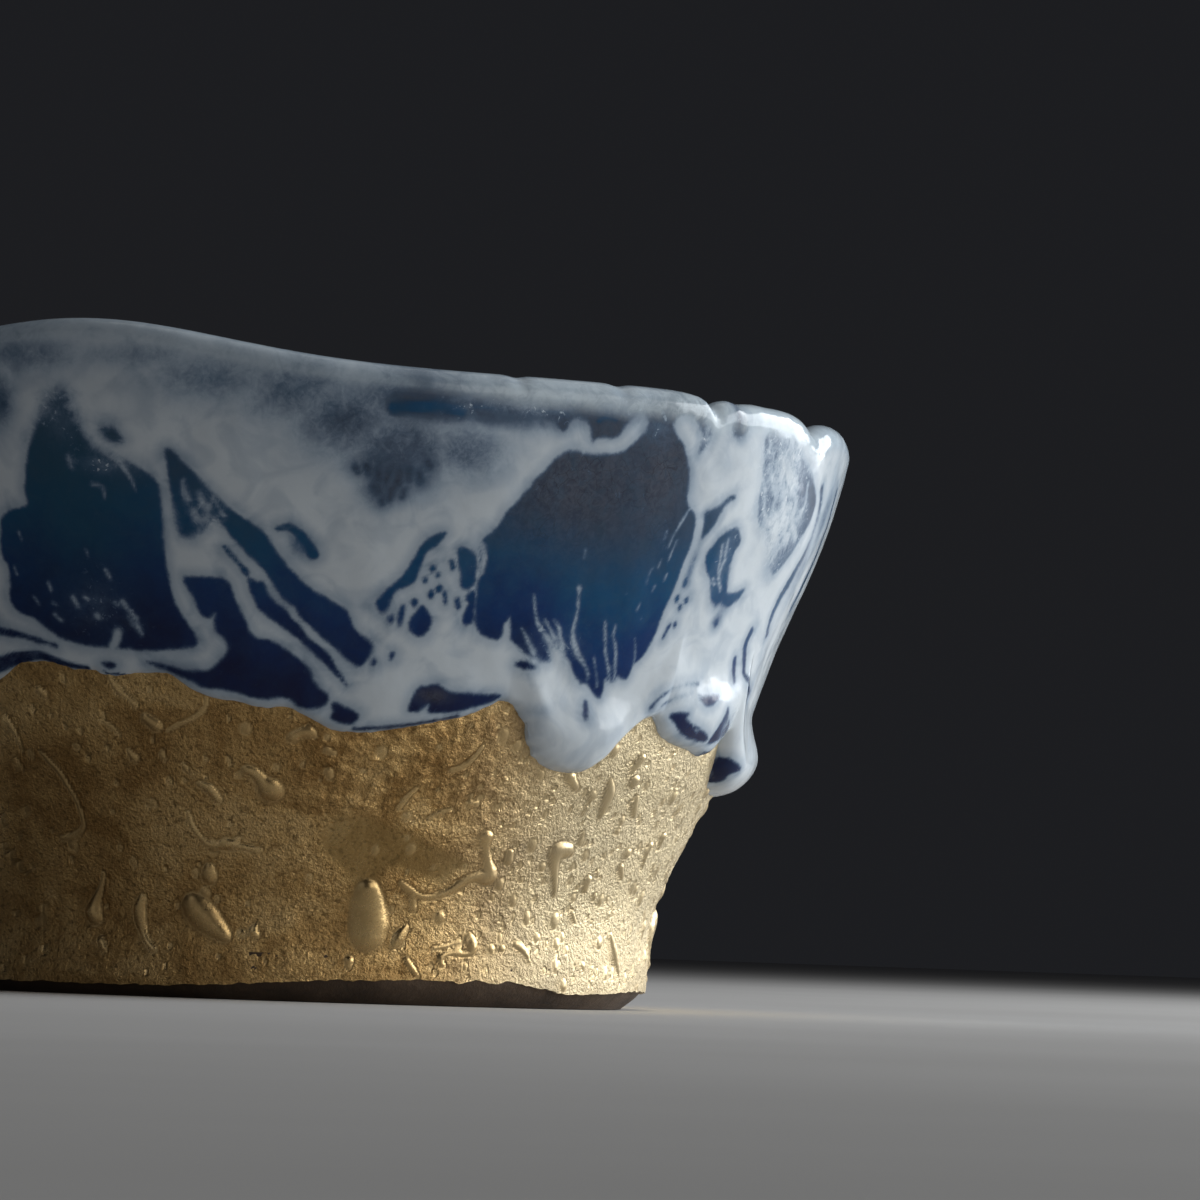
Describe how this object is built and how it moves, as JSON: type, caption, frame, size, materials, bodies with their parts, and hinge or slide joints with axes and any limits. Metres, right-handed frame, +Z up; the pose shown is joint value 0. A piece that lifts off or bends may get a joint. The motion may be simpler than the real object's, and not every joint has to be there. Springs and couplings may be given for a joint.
{
  "type": "sake cup",
  "caption": "Small hand-formed stoneware sake cup with an uneven lip, thick milky blue glaze running down in drips, and a gold-leafed lower body on a bare ringed foot.",
  "frame": {"origin": "middle of the foot, on the plane that the cup stands on, under the middle of the cup's width and depth", "axes": "+Z up along the axis the cup was turned on, +X to the right and -Y towards the viewer as the cup stands in the picture, with the two long glaze runs at the front right"},
  "size_m": [0.0776, 0.0782, 0.0442],
  "materials": {
    "milky_blue_glaze": "gloss",
    "gold_leaf": "satin",
    "bare_clay": "matte"
  },
  "bodies": {
    "root": {"sake_cup": "milky_blue_glaze"}
  },
  "joints": []
}
